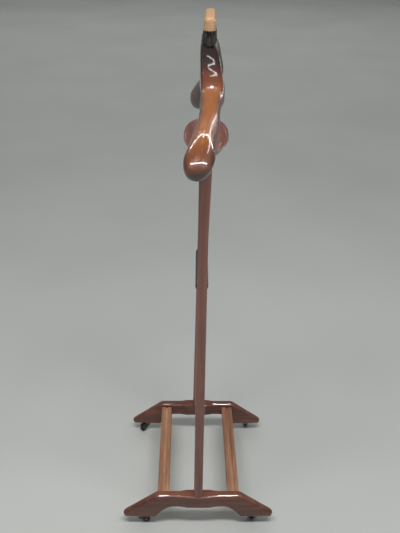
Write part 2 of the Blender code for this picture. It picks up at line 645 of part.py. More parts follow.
def make_castor(corner, along_x, along_y, heading, materials):
    origin = bpy.data.objects.new(f"{corner}_castor", None)
    bpy.context.scene.collection.objects.link(origin)
    origin.location = (along_x * HALF_SPAN, along_y * CASTOR_Y, 0)
    origin.rotation_euler.z = math.radians(heading)
    bpy.context.view_layer.update()

    def place(bm):
        """Moves a cutter's mesh into the world, where the cutters lie."""
        bm.transform(origin.matrix_world)
        return bm

    flange_top = FOOT_BOTTOM_Z - GAP
    inner = STEM_RADIUS + GAP
    flange_low = flange_top - FLANGE_THICK
    profile = [(inner, flange_low), (FLANGE_RADIUS - 0.0005, flange_low)]
    profile += [(FLANGE_RADIUS, flange_top), (SOCKET_RADIUS, flange_top)]
    profile += [(SOCKET_RADIUS, SOCKET_TOP_Z), (inner, SOCKET_TOP_Z)]
    socket = turned(profile, hollow=True)
    add_object(f"{corner}_castor_socket", socket, materials["steel"], origin)

    ends = [[(x, y, z) for x, z in fork_outline()] for y in (-FORK_HALF_WIDTH, FORK_HALF_WIDTH)]
    fork = add_object(f"{corner}_castor_fork", loft(ends), materials["black"], origin)
    slot = rounded_rectangle(FORK_SLOT_HALF, -0.010, FORK_SLOT_TOP_Z, 0.001, 0.0012, 1)
    cutter = loft([[(x, y, z) for y, z in slot] for x in (STEM_RADIUS + 0.0010, 0.040)])
    cut(fork, place(cutter), "wheel_slot")
    ends = [(CASTOR_TRAIL, y, WHEEL_RADIUS) for y in (-2 * FORK_HALF_WIDTH, 2 * FORK_HALF_WIDTH)]
    cut(fork, place(rod(*ends, AXLE_RADIUS + GAP)), "axle_hole")
    hole = rod((0, 0, 0), (0, 0, 0.04), STEM_RADIUS + GAP)
    cut(fork, place(hole), "stem_hole")

    ease = 0.0006
    profile = [(STEM_RADIUS - ease, STEM_LOW_Z), (STEM_RADIUS, STEM_LOW_Z + ease)]
    profile += [(STEM_RADIUS, STEM_TOP_Z - ease), (STEM_RADIUS - ease, STEM_TOP_Z)]
    add_object(f"{corner}_castor_stem", turned(profile, SMALL_ROUND), materials["steel"], origin)

    half = FORK_HALF_WIDTH + 0.0002
    axle = rod((0, -half, 0), (0, half, 0), AXLE_RADIUS)
    axle = add_object(f"{corner}_castor_axle", axle, materials["steel"], origin)

    profile = wheel_profile()
    profile += [(r, -h) for r, h in reversed(profile)]
    wheel = along(turned(profile, hollow=True), (0, 0, 0), (0, 1, 0))
    wheel = add_object(f"{corner}_castor_wheel", wheel, materials["rubber"], origin)
    for piece in (axle, wheel):
        piece.location = (CASTOR_TRAIL, 0, WHEEL_RADIUS)


# The lean of the left post, which carries everything between the posts with it


def rack(point):
    """Where a point goes as the left post leans back; nothing moves at the right post."""
    rise = max(0.0, point.z - FOOT_TOP_Z)
    share = (HALF_SPAN - point.x) / (2 * HALF_SPAN)
    return Vector((point.x, point.y + RACK * rise * share, point.z))


def rack_frame():
    bpy.context.view_layer.update()
    for obj in bpy.data.objects:
        if obj.type == "MESH":
            place = obj.matrix_world
            back = place.inverted()
            for vertex in obj.data.vertices:
                vertex.co = back @ rack(place @ vertex.co)


def main():
    clear_scene()
    wood = make_material("lacquered_hardwood", (0.155, 0.066, 0.043), 0.22)
    rail_wood = make_material("rail_hardwood", (0.300, 0.150, 0.070), 0.30)
    beech = make_material("brush_beech", (0.610, 0.370, 0.190), 0.45)
    plain = make_material("dowel_beech", (0.560, 0.380, 0.220), 0.60)
    hair = make_material("black_bristle", (0.030, 0.026, 0.022), 0.85)
    grip = make_material("grip_sleeve", (0.050, 0.045, 0.046), 0.80)
    steel = make_material("zinc_steel", (0.560, 0.560, 0.570), 0.35, 1.0)
    black = make_material("castor_black", (0.020, 0.020, 0.021), 0.45)
    rubber = make_material("wheel_black", (0.015, 0.015, 0.015), 0.60)
    for label, side in (("right", 1), ("left", -1)):
        make_foot(f"{label}_foot", side, wood)
        make_post(f"{label}_post", side, wood)
    for label, sign in (("front", -1), ("rear", 1)):
        make_rail(f"{label}_shoe_rail", sign, rail_wood)
    make_hanger(wood)
    make_crossbar(wood)
    make_tray(wood)
    make_trouser_bar(wood, grip)
    make_brush(beech, hair)
    make_fixings(plain, steel)
    for corner, (along_x, along_y, heading) in CASTORS.items():
        materials = {"steel": steel, "black": black, "rubber": rubber}
        make_castor(corner, along_x, along_y, heading, materials)
    rack_frame()


main()
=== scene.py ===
"""Looks of a rolling clothes valet: lacquered hardwood, a beech brush and black castors.

Each shown part is made again as a fine mesh of its CAD solid's shape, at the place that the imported
model gives, with a procedural material, and rides on the same body. The dowels and screws stay as
they are packed. Metres, +Z up; +X is the right end, and -Y the front.
"""

import math
import random

import bmesh
import bpy
from mathutils import Matrix, Vector


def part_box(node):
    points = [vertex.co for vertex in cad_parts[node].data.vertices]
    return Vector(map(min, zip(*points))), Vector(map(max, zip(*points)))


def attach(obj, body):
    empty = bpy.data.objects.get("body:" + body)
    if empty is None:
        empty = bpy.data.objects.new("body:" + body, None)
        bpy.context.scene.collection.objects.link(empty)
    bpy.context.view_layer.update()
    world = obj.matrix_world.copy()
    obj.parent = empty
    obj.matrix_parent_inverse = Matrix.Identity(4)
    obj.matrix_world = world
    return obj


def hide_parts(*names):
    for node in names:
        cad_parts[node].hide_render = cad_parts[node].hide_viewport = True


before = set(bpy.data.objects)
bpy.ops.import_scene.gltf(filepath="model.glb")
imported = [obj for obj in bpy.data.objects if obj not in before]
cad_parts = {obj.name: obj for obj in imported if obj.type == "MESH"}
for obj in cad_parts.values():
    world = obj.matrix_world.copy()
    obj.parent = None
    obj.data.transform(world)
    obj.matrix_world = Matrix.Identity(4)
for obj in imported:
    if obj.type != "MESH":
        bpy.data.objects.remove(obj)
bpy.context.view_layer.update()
GAP = 0.0003  # between pieces that touch
HALF_SPAN = 0.160  # from the middle to a post
RACK = 0.0116  # how far the left post leans back, as a share of its height


# Mesh tools


def rack(point):
    """Where a point goes as the left post leans back; nothing moves at the right post."""
    rise = max(0.0, point.z - FOOT_TOP_Z)
    share = (HALF_SPAN - point.x) / (2 * HALF_SPAN)
    return Vector((point.x, point.y + RACK * rise * share, point.z))


def new_object(name, bm, angle=35):
    """Links a racked mesh with outward normals, smooth but for edges sharper than angle degrees."""
    for vertex in bm.verts:
        vertex.co = rack(vertex.co)
    bmesh.ops.recalc_face_normals(bm, faces=bm.faces)
    mesh = bpy.data.meshes.new(name)
    bm.to_mesh(mesh)
    bm.free()
    mesh.shade_smooth()
    mesh.set_sharp_from_angle(angle=math.radians(angle))
    obj = bpy.data.objects.new(name, mesh)
    bpy.context.scene.collection.objects.link(obj)
    return obj


def finish_piece(obj, material, body, slot, *nodes):
    """Gives a piece its material and body, and hides the CAD nodes that it stands for. Its slot is
    not used.
    """
    obj.data.materials.clear()
    obj.data.materials.append(material)
    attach(obj, body)
    if nodes:
        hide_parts(*nodes)
    return obj


def loft(rings, hollow=False):
    """A closed mesh through rings of equal length: capped, or joined end to start if hollow."""
    bm = bmesh.new()
    rows = [[bm.verts.new(point) for point in ring] for ring in rings]
    pairs = list(zip(rows, rows[1:]))
    if hollow:
        pairs.append((rows[-1], rows[0]))
    else:
        bm.faces.new(rows[0])
        bm.faces.new(rows[-1])
    for low, high in pairs:
        for k, corner in enumerate(low):
            j = (k + 1) % len(low)
            bm.faces.new((corner, low[j], high[j], high[k]))
    return bm


def turned(profile, sides=64, hollow=False):
    """A solid of revolution about Z; profile is (radius, height) pairs."""
    turns = [2 * math.pi * k / sides for k in range(sides)]
    rings = [[(r * math.cos(a), r * math.sin(a), h) for a in turns] for r, h in profile]
    return loft(rings, hollow)


def along(bm, start, end):
    """Lays a mesh made along +Z from its origin so that it runs from start towards end."""
    direction = Vector(end) - Vector(start)
    turn = direction.to_track_quat("Z", "Y").to_matrix().to_4x4()
    bm.transform(Matrix.Translation(start) @ turn)
    return bm


def eased(points, radius, steps=4):
    """A profile whose inner corners are rounded to about radius."""
    out = [points[0]]
    for before, corner, after in zip(points, points[1:], points[2:]):
        a, b, c = Vector(before), Vector(corner), Vector(after)
        reach = min(radius, 0.45 * (a - b).length, 0.45 * (c - b).length)
        start, end = b + (a - b).normalized() * reach, b + (c - b).normalized() * reach
        for k in range(steps + 1):
            t = k / steps
            out.append(tuple((1 - t) ** 2 * start + 2 * t * (1 - t) * b + t * t * end))
    return out + [points[-1]]


def rounded_outline(points, radii, steps=6):
    """A closed outline whose corners are rounded, each to about its own radius."""
    out = []
    count = len(points)
    for k, corner in enumerate(points):
        a, b, c = Vector(points[k - 1]), Vector(corner), Vector(points[(k + 1) % count])
        reach = min(radii[k], 0.49 * (a - b).length, 0.49 * (c - b).length)
        start, end = b + (a - b).normalized() * reach, b + (c - b).normalized() * reach
        for i in range(steps + 1):
            t = i / steps
            out.append(tuple((1 - t) ** 2 * start + 2 * t * (1 - t) * b + t * t * end))
    return out


def rounded_rectangle(half_u, low_v, high_v, low_radius, high_radius, steps=6):
    """Corner points, anticlockwise from the lower right, with steps facets to a corner."""
    corners = (
        (half_u - low_radius, low_v + low_radius, low_radius, -90),
        (half_u - high_radius, high_v - high_radius, high_radius, 0),
        (-half_u + high_radius, high_v - high_radius, high_radius, 90),
        (-half_u + low_radius, low_v + low_radius, low_radius, 180),
    )
    points = []
    for u, v, radius, start in corners:
        for k in range(steps + 1):
            a = math.radians(start + 90 * k / steps)
            points.append((u + radius * math.cos(a), v + radius * math.sin(a)))
    return points


def smooth_step(t):
    """Rises smoothly from 0 to 1 as t does."""
    t = min(max(t, 0.0), 1.0)
    return t * t * (3 - 2 * t)


def through(points, x):
    """The value at x of a smooth curve through (x, value) points."""
    last = len(points) - 1
    k = max(i for i in range(last) if points[i][0] <= x or i == 0)

    def slope(i):
        a, b = points[max(i - 1, 0)], points[min(i + 1, last)]
        return (b[1] - a[1]) / (b[0] - a[0])

    (x0, v0), (x1, v1) = points[k], points[k + 1]
    step = x1 - x0
    t = (x - x0) / step
    h = t * t * (3 - 2 * t)
    rise = (t**3 - 2 * t * t + t) * slope(k) + (t**3 - t * t) * slope(k + 1)
    return v0 + (v1 - v0) * h + rise * step


def spread(low, high, count):
    """Evenly spaced values from low to high."""
    return [low + (high - low) * k / (count - 1) for k in range(count)]


def mirrored(half):
    """Stations from end to end, given those from the middle, which is 0, to one end."""
    return [-value for value in reversed(half[1:])] + half


def quarter(start, length, steps):
    """Stations that crowd together towards the end of a rounded stretch."""
    return [start + length * math.sin(math.pi / 2 * k / steps) for k in range(1, steps + 1)]


def cut(target, cutters):
    """Takes closed meshes out of target for good."""
    for k, bm in enumerate(cutters):
        cutter = new_object(f"cutter_{k}", bm)
        modifier = target.modifiers.new("cut", "BOOLEAN")
        modifier.operation = "DIFFERENCE"
        modifier.solver = "EXACT"
        modifier.object = cutter
        bpy.context.view_layer.update()
        made = bpy.data.meshes.new_from_object(
            target.evaluated_get(bpy.context.evaluated_depsgraph_get())
        )
        target.modifiers.clear()
        target.data = made
        bpy.data.objects.remove(cutter, do_unlink=True)
    target.data.shade_smooth()
    target.data.set_sharp_from_angle(angle=math.radians(35))


# Materials


class Nodes:
    """A material's node tree, with short ways to add to it."""

    def __init__(self, name):
        self.material = bpy.data.materials.new(name)
        self.material.use_nodes = True
        self.tree = self.material.node_tree
        self.shader = self.tree.nodes["Principled BSDF"]
        self.place = self.add("ShaderNodeTexCoord").outputs["Object"]

    def add(self, kind, **settings):
        node = self.tree.nodes.new(kind)
        for key, value in settings.items():
            setattr(node, key, value)
        return node

    def link(self, start, end):
        self.tree.links.new(start, end)

    def scaled(self, scale, source=None, offset=(0, 0, 0)):
        node = self.add("ShaderNodeMapping")
        node.inputs["Scale"].default_value = scale
        node.inputs["Location"].default_value = offset
        self.link(source or self.place, node.inputs["Vector"])
        return node.outputs["Vector"]

    def noise(self, vector, scale, detail=4.0, roughness=0.5, distortion=0.0):
        node = self.add("ShaderNodeTexNoise")
        node.inputs["Scale"].default_value = scale
        node.inputs["Detail"].default_value = detail
        node.inputs["Roughness"].default_value = roughness
        node.inputs["Distortion"].default_value = distortion
        self.link(vector, node.inputs["Vector"])
        return node.outputs["Fac"]

    def ramp(self, value, stops):
        """stops is (position, colour) pairs; a colour is linear RGB or one grey."""
        node = self.add("ShaderNodeValToRGB")
        elements = node.color_ramp.elements
        while len(elements) < len(stops):
            elements.new(0.5)
        for element, (position, colour) in zip(elements, stops):
            element.position = position
            if isinstance(colour, float):
                colour = (colour, colour, colour)
            element.color = (*colour, 1.0)
        self.link(value, node.inputs["Fac"])
        return node.outputs["Color"]

    def mix(self, factor, a, b, blend="MIX"):
        node = self.add("ShaderNodeMix", data_type="RGBA", blend_type=blend)
        for socket, value in (("Factor", factor), ("A", a), ("B", b)):
            target = [s for s in node.inputs if s.name == socket and s.enabled][0]
            if isinstance(value, bpy.types.NodeSocket):
                self.link(value, target)
            else:
                target.default_value = (*value, 1.0) if isinstance(value, tuple) else value
        return [s for s in node.outputs if s.enabled][0]

    def math(self, operation, a, b):
        node = self.add("ShaderNodeMath", operation=operation)
        for socket, value in zip(node.inputs, (a, b)):
            if isinstance(value, bpy.types.NodeSocket):
                self.link(value, socket)
            else:
                socket.default_value = value
        return node.outputs[0]

    def bump(self, height, strength, distance):
        node = self.add("ShaderNodeBump")
        node.inputs["Strength"].default_value = strength
        node.inputs["Distance"].default_value = distance
        self.link(height, node.inputs["Height"])
        self.link(node.outputs["Normal"], self.shader.inputs["Normal"])
        return node

    def tint(self, value, low, high, start=0.3, end=0.7):
        """Takes the colour from low to high as a noise value goes from start to end."""
        colour = self.ramp(value, [(start, low), (end, high)])
        self.link(colour, self.shader.inputs["Base Color"])

    def roughen(self, value, low, high):
        self.link(self.ramp(value, [(0.3, low), (0.7, high)]), self.shader.inputs["Roughness"])

    def set(self, **values):
        for key, value in values.items():
            socket = key.replace("_", " ").title().replace("Ior", "IOR")
            self.shader.inputs[socket].default_value = value


def linear(*srgb):
    """Linear RGB from 0-255 display values."""
    return tuple(((c / 255 + 0.055) / 1.055) ** 2.4 for c in srgb)


def stretched(axis, across, lengthwise):
    """Noise scales for a grain along axis 0, 1 or 2."""
    scales = [across] * 3
    scales[axis] = lengthwise
    return tuple(scales)


# The hanger's colour, from the orange-brown of its top to near black: painted shade where it faces
# down, and darker at its neck, sides and end

SHADE_AND_DARK = [
    (0.0, linear(146, 86, 38)),
    (0.35, linear(130, 72, 42)),
    (0.65, linear(80, 44, 38)),
    (1.0, linear(30, 24, 26)),
]
SHADE_AND_DARK_COVER = 0.92
RIPPLE_HEIGHT = 4.0


def wood(name, light, middle, dark, axis, coat, rough, pores=0.35, scale=1.0, shade_painted=False):
    """Hardwood with its grain along axis 0, 1 or 2, under a clear lacquer of weight coat.

    Wood for the hanger darkens, and its lacquer ripples, as the piece's own stored values say:
    painted shade where it faces down, and darker at its neck, sides and end.
    """
    n = Nodes(name)
    fine = n.scaled(stretched(axis, 60.0 * scale, 3.2 * scale))
    figure = n.noise(fine, 1.0, 5.0, 0.55, 0.8)
    wide = n.scaled(stretched(axis, 14.0 * scale, 1.1 * scale), offset=(3.1, 1.7, 0.4))
    broad = n.noise(wide, 1.0, 2.0, 0.5, 0.4)
    pore = n.noise(n.scaled(stretched(axis, 900.0, 26.0)), 1.0, 3.0, 0.6)
    tone = n.math("ADD", n.math("MULTIPLY", figure, 0.55), n.math("MULTIPLY", broad, 0.45))
    colour = n.ramp(tone, [(0.33, dark), (0.50, middle), (0.66, light)])
    streaks = n.ramp(pore, [(0.34, 1.0), (0.46, 0.0)])
    colour = n.mix(n.math("MULTIPLY", streaks, pores), colour, tuple(0.45 * c for c in dark))
    ripple = n.noise(n.scaled((1.0, 1.0, 1.0)), 42.0, 1.0, 0.4)
    height = n.math("ADD", n.math("MULTIPLY", ripple, 0.3), n.math("MULTIPLY", pore, 0.03))
    if shade_painted:
        # painted shade where the hanger faces down, and a darkening at its neck, sides and end
        shade_and_dark = n.add("ShaderNodeAttribute", attribute_name="shade_and_dark").outputs["Fac"]
        colour = n.mix(SHADE_AND_DARK_COVER, colour, n.ramp(shade_and_dark, SHADE_AND_DARK))
        wave = n.add("ShaderNodeAttribute", attribute_name="ripple").outputs["Fac"]
        coarse = n.noise(n.scaled((1.0, 1.0, 0.6)), 75.0, 0.0, 0.4)
        waves = n.math("MULTIPLY", n.math("MULTIPLY", coarse, wave), RIPPLE_HEIGHT)
        height = n.math("ADD", height, waves)
    n.link(colour, n.shader.inputs["Base Color"])
    n.roughen(tone, rough + 0.06, rough - 0.04)
    n.bump(height, 0.10, 0.0012)
    n.set(coat_weight=coat, coat_roughness=0.045, coat_ior=1.5, specular_ior_level=0.4)
    return n.material


def bristle_material():
    n = Nodes("black_bristle")
    tone = n.noise(n.scaled((1.0, 1.0, 1.0)), 380.0, 2.0, 0.5)
    n.tint(tone, linear(56, 49, 45), linear(88, 79, 74), 0.35, 0.65)
    n.set(roughness=0.55, specular_ior_level=0.35)
    return n.material


def grip_material():
    """Dark grey rubbery sleeve with a fine matt grain."""
    n = Nodes("grip_sleeve")
    fine = n.noise(n.scaled((1.0, 1.0, 1.0)), 700.0, 3.0, 0.6)
    broad = n.noise(n.scaled((1.0, 1.0, 1.0)), 40.0, 2.0, 0.5)
    n.tint(broad, linear(70, 66, 68), linear(86, 81, 82))
    n.roughen(fine, 0.85, 0.68)
    n.bump(fine, 0.5, 0.0003)
    n.set(specular_ior_level=0.3)
    return n.material


def steel_material():
    n = Nodes("zinc_steel")
    brushed = n.noise(n.scaled((1.0, 1.0, 60.0)), 60.0, 3.0, 0.6)
    n.tint(brushed, linear(150, 150, 154), linear(196, 196, 198))
    n.roughen(brushed, 0.42, 0.26)
    n.bump(brushed, 0.15, 0.0002)
    n.set(metallic=1.0)
    return n.material


def black_material(name, shade, rough):
    """Moulded black plastic or rubber, uneven around a shade of 0 to 255."""
    n = Nodes(name)
    fine = n.noise(n.scaled((1.0, 1.0, 1.0)), 900.0, 3.0, 0.6)
    broad = n.noise(n.scaled((1.0, 1.0, 1.0)), 120.0, 2.0, 0.5)
    low = linear(shade - 6, shade - 6, shade - 5)
    high = linear(shade + 12, shade + 11, shade + 11)
    n.tint(broad, low, high, 0.3, 0.75)
    n.roughen(fine, rough + 0.1, rough - 0.05)
    n.bump(fine, 0.35, 0.00015)
    return n.material


def make_materials():
    """The woods' colours go light, middle, dark; the key's letter is the way the grain runs."""
    foot = (linear(136, 82, 56), linear(108, 61, 45), linear(76, 38, 31))
    frame_wood = (linear(164, 112, 94), linear(140, 91, 78), linear(104, 64, 56))
    tan = (linear(186, 142, 108), linear(148, 104, 78), linear(96, 58, 46))
    beech = (linear(222, 182, 136), linear(208, 164, 118), linear(184, 138, 96))
    return {
        "lacquer_y": wood("lacquered_hardwood_y", *foot, 1, 0.8, 0.34),
        "lacquer_x": wood("lacquered_hardwood_x", *frame_wood, 0, 0.9, 0.34),
        "lacquer_z": wood("lacquered_hardwood_z", *frame_wood, 2, 0.6, 0.36),
        "hanger": wood("shade_painted_hardwood_x", *foot, 0, 1.0, 0.34, shade_painted=True),
        "rail": wood("rail_hardwood", *tan, 0, 0.6, 0.36, scale=1.4),
        "beech_x": wood("brush_beech", *beech, 0, 0.35, 0.42, pores=0.18),
        "dowel": wood("dowel_beech", *beech, 0, 0.0, 0.6, pores=0.2),
        "bristle": bristle_material(),
        "grip": grip_material(),
        "steel": steel_material(),
        "plastic": black_material("castor_black", 34, 0.38),
        "rubber": black_material("wheel_black", 28, 0.62),
    }


# Arched feet. The sections are the CAD model's, at a finer step.

FOOT_HALF_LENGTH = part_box("right_foot")[1].y
FOOT_HALF_WIDTH = 0.010
FOOT_TIP_HALF_WIDTH = 0.0085
FOOT_BOSS = 0.004
FOOT_TOP_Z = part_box("right_foot")[1].z
FOOT_ARCH_Z = 0.055
FOOT_BOTTOM_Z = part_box("right_foot")[0].z
FOOT_SHOULDER_Y = 0.093
FOOT_ARCH_FLAT_Y = 0.060
FOOT_PAD_Y = 0.0975
FOOT_TIP_RADIUS = 0.0055
FOOT_NOSE = 0.009
FOOT_TOP_RADIUS = 0.005
FOOT_BOTTOM_RADIUS = 0.0025
FOOT_SHOULDER_BEND = 0.004
FOOT_PAD_BEND = 0.0015
FOOT_BOSS_Y = 0.045
FOOT_BOSS_FADE = 0.023
FOOT_TAPER_LENGTH = 0.06
FOOT_TIP_CENTRE_Y = FOOT_HALF_LENGTH - FOOT_TIP_RADIUS + 0.0002
FOOT_ROUND_Y = 0.155
FOOT_SCREW_Y = -0.0005
FOOT_RECESS_RADIUS = 0.006
FOOT_RECESS_DEPTH = 0.008
SOCKET_RADIUS = 0.0042
BELOW_Z = 0.02  # where the cutters start, under the foot's wood


def blend_corner(y, corner, reach, left, right):
    """A height whose two straight lines, left and right of a corner, meet in a soft bend."""
    if y <= corner - reach:
        return left(y)
    if y >= corner + reach:
        return right(y)
    t = (y - corner + reach) / (2 * reach)
    a, b, c = left(corner - reach), left(corner), right(corner + reach)
    return (1 - t) ** 2 * a + 2 * t * (1 - t) * b + t * t * c


def foot_top(y):
    """Height of the top of a foot: level in the middle, then a slope that meets the round tip."""
    tip_z = FOOT_BOTTOM_Z + FOOT_TIP_RADIUS
    run, drop = FOOT_TIP_CENTRE_Y - FOOT_SHOULDER_Y, FOOT_TOP_Z - tip_z
    tilt = math.atan2(drop, run) - math.asin(FOOT_TIP_RADIUS / math.hypot(run, drop))
    if y <= FOOT_TIP_CENTRE_Y + FOOT_TIP_RADIUS * math.sin(tilt):
        return blend_corner(
            y,
            FOOT_SHOULDER_Y,
            FOOT_SHOULDER_BEND,
            lambda v: FOOT_TOP_Z,
            lambda v: FOOT_TOP_Z - (v - FOOT_SHOULDER_Y) * math.tan(tilt),
        )
    return tip_z + math.sqrt(max(FOOT_TIP_RADIUS**2 - (y - FOOT_TIP_CENTRE_Y) ** 2, 0))


def foot_bottom(y):
    """Height of its underside: a flat arch that curves down to the pad over the castor."""

    def arch(v):
        t = max(0.0, (v - FOOT_ARCH_FLAT_Y) / (FOOT_PAD_Y - FOOT_ARCH_FLAT_Y))
        return FOOT_ARCH_Z - (FOOT_ARCH_Z - FOOT_BOTTOM_Z) * t**1.6

    if y <= FOOT_TIP_CENTRE_Y:
        return blend_corner(y, FOOT_PAD_Y, FOOT_PAD_BEND, arch, lambda v: FOOT_BOTTOM_Z)
    reach = math.sqrt(max(FOOT_TIP_RADIUS**2 - (y - FOOT_TIP_CENTRE_Y) ** 2, 0))
    return FOOT_BOTTOM_Z + FOOT_TIP_RADIUS - reach


def foot_half_width(y):
    """Half its width: wider under the post, tapered down the slope and rounded at the nose."""
    boss = FOOT_BOSS * smooth_step((FOOT_BOSS_Y - y) / FOOT_BOSS_FADE)
    slope = smooth_step((y - FOOT_SHOULDER_Y) / FOOT_TAPER_LENGTH)
    taper = (FOOT_HALF_WIDTH - FOOT_TIP_HALF_WIDTH) * slope
    t = max(0.0, (y - FOOT_HALF_LENGTH + FOOT_NOSE) / FOOT_NOSE)
    return (FOOT_HALF_WIDTH + boss - taper) * math.sqrt(1 - 0.9 * t**2)


def foot_ring(x, y):
    low, high = foot_bottom(abs(y)), foot_top(abs(y))
    most = 0.45 * (high - low)
    lower, upper = min(FOOT_BOTTOM_RADIUS, most), min(FOOT_TOP_RADIUS, most)
    ring = rounded_rectangle(foot_half_width(abs(y)), low, high, lower, upper)
    return [(x + u, y, z) for u, z in ring]


def make_feet(materials):
    half = spread(0.0, FOOT_ROUND_Y, 80) + quarter(FOOT_ROUND_Y, FOOT_HALF_LENGTH - FOOT_ROUND_Y, 16)
    stations = mirrored(half)
    recess_top = FOOT_ARCH_Z + FOOT_RECESS_DEPTH
    for label, side in (("right", 1), ("left", -1)):
        x = side * HALF_SPAN
        foot = new_object(f"{label}_foot_wood", loft([foot_ring(x, y) for y in stations]))
        profile = [(FOOT_RECESS_RADIUS, 0.0), (FOOT_RECESS_RADIUS, recess_top - BELOW_Z)]
        cutters = [along(turned(profile, 40), (x, FOOT_SCREW_Y, BELOW_Z), (x, FOOT_SCREW_Y, 1))]
        for place in ("front", "rear"):
            lo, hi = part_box(f"{place}_{label}_castor_socket")
            hole = [(SOCKET_RADIUS + GAP, 0.0), (SOCKET_RADIUS + GAP, hi.z + GAP - BELOW_Z)]
            y = (lo.y + hi.y) / 2
            cutters.append(along(turned(hole, 40), (x, y, BELOW_Z), (x, y, 1)))
        cut(foot, cutters)
        finish_piece(foot, materials["lacquer_y"], "stand", "lacquered_wood", f"{label}_foot")


# Coat hanger. Each line gives (distance from the middle, value).

HANGER_TIP = 0.246
HANGER_TOP = [(0, 1.0475), (0.052, 1.0470), (0.066, 1.038), (0.080, 1.010), (0.092, 0.987)]
HANGER_TOP += [(0.110, 0.974), (0.135, 0.966), (0.160, 0.957), (0.185, 0.948), (0.205, 0.939)]
HANGER_TOP += [(0.222, 0.929), (HANGER_TIP, 0.912)]
HANGER_BOTTOM = [(0, 0.965), (0.050, 0.957), (0.100, 0.940), (0.160, 0.912), (0.190, 0.884)]
HANGER_BOTTOM += [(0.215, 0.862), (0.233, 0.8535), (HANGER_TIP, 0.852)]
HANGER_MIDDLE = [(0, 0.002), (0.050, 0.003), (0.075, 0.0080), (0.090, 0.0112), (0.110, 0.0085)]
HANGER_MIDDLE += [(0.130, 0.0070), (0.160, 0.0045), (0.190, -0.0025), (0.220, -0.0085)]
HANGER_MIDDLE += [(HANGER_TIP, -0.0105)]
HANGER_HALF = [(0, 0.0155), (0.050, 0.016), (0.075, 0.0190), (0.090, 0.0208), (0.110, 0.0192)]
HANGER_HALF += [(0.130, 0.0180), (0.160, 0.0190), (0.190, 0.0218), (0.220, 0.0260)]
HANGER_HALF += [(HANGER_TIP, 0.0265)]
HANGER_SQUARE = [(0, 5.0), (0.070, 4.0), (0.110, 2.6), (0.160, 2.3), (HANGER_TIP, 2.1)]
HANGER_LEAN = [(0, -0.36), (0.060, -0.36), (0.090, -0.1), (0.120, 0.0), (HANGER_TIP, 0.0)]
HANGER_SHEAR = [(0, 0), (0.130, 0), (0.180, 0.08), (0.215, 0.15), (HANGER_TIP, 0.15)]
HANGER_NARROW = [(0, 0), (0.120, 0), (0.180, 0.35), (HANGER_TIP, 0.38)]
HANGER_END = 0.030
HANGER_COARSE_END = 0.046  # the neck is nearly the same up to here, so its sections are few
HANGER_FINE_START = 0.0475
BRUSH_Y = 0.0032
TROUGH_RADIUS = 0.0136
TROUGH_Z = 1.0545


def soft_least(a, b, ease):
    """The lesser of two heights, with a bend of about ease where they meet."""
    h = min(max(0.5 + 0.5 * (b - a) / ease, 0.0), 1.0)
    return b * (1 - h) + a * h - ease * h * (1 - h)


def hanger_section(far):
    """The section's middle, half sizes, squareness, lean, shear and narrowing at a distance."""
    top, bottom = through(HANGER_TOP, far), through(HANGER_BOTTOM, far)
    t = max(0.0, (far - HANGER_TIP + HANGER_END) / HANGER_END)
    shrink = math.sqrt(max(1 - t**2.4, 0.0))
    return (
        through(HANGER_MIDDLE, far),
        (top + bottom) / 2,
        through(HANGER_HALF, far) * shrink,
        (top - bottom) / 2 * shrink,
        through(HANGER_SQUARE, far),
        through(HANGER_LEAN, far),
        through(HANGER_SHEAR, far),
        through(HANGER_NARROW, far),
    )


def hanger_ring(x, sides):
    """A section across the arm, with the brush's trough pressed into its top."""
    mid_y, mid_z, half_y, half_z, square, lean, shear, narrow = hanger_section(abs(x))
    ring = []
    for k in range(sides):
        a = 2 * math.pi * (k + 0.5) / sides
        ca, sa = math.cos(a), math.sin(a)
        reach = (abs(ca) ** square + abs(sa) ** square) ** (-1 / square)
        u, v = reach * ca, reach * sa
        y = u * half_y * (1 - narrow * max(v, 0))
        z = v * half_z + lean * y * max(v, 0)
        y += shear * z + mid_y
        z += mid_z
        depth = TROUGH_RADIUS**2 - (y - BRUSH_Y) ** 2
        if depth > 0 and v > 0:
            z = soft_least(z, TROUGH_Z - math.sqrt(depth), 0.0012)
        ring.append((x, y, z))
    return ring


def hanger_underside(x, y):
    """Height of the hanger's underside over a point, before the frame leans."""
    mid_y, mid_z, half_y, half_z, square, _, shear, _ = hanger_section(abs(x))
    z = -half_z
    for _ in range(12):
        u = min(abs(y - mid_y - shear * z) / half_y, 0.999)
        z = -half_z * (1 - u**square) ** (1 / square)
    return mid_z + z


def fade(value, start, width):
    """How far a value is past start: 0 before it, 1 once it is past by width."""
    return smooth_step((value - start) / width)


def shade_hanger(hanger):
    """Stores where the colour darkens, and where the lacquer ripples: painted shade underneath, and
    darker at the neck, sides and end.
    """
    mesh = hanger.data
    shade_and_dark = mesh.attributes.new("shade_and_dark", "FLOAT", "POINT")
    ripple = mesh.attributes.new("ripple", "FLOAT", "POINT")
    for vertex, normal in zip(mesh.vertices, mesh.vertex_normals):
        x, up = abs(vertex.co.x), normal.vector.z
        mid_y, _, half_y = hanger_section(min(x, HANGER_TIP - 0.016))[:3]
        racked = rack(Vector((vertex.co.x, 0.0, vertex.co.z))).y
        aside = abs(vertex.co.y - racked - mid_y) / half_y
        # darker at the neck, towards the sides and at the end
        neck = 1.0 - 0.55 * fade(x, 0.072, 0.016) - 0.45 * fade(x, 0.088, 0.020)
        edge = 0.62 * fade(aside, 0.45, 0.55)
        # painted shade: darker where the surface faces down
        under = smooth_step((0.50 - up) / 1.3)
        tip = 0.30 * fade(x, 0.226, 0.012)
        shade_and_dark.data[vertex.index].value = min(1.0, max(neck, edge, under, tip))
        ripple.data[vertex.index].value = 1.0 - fade(x, 0.092, 0.022)


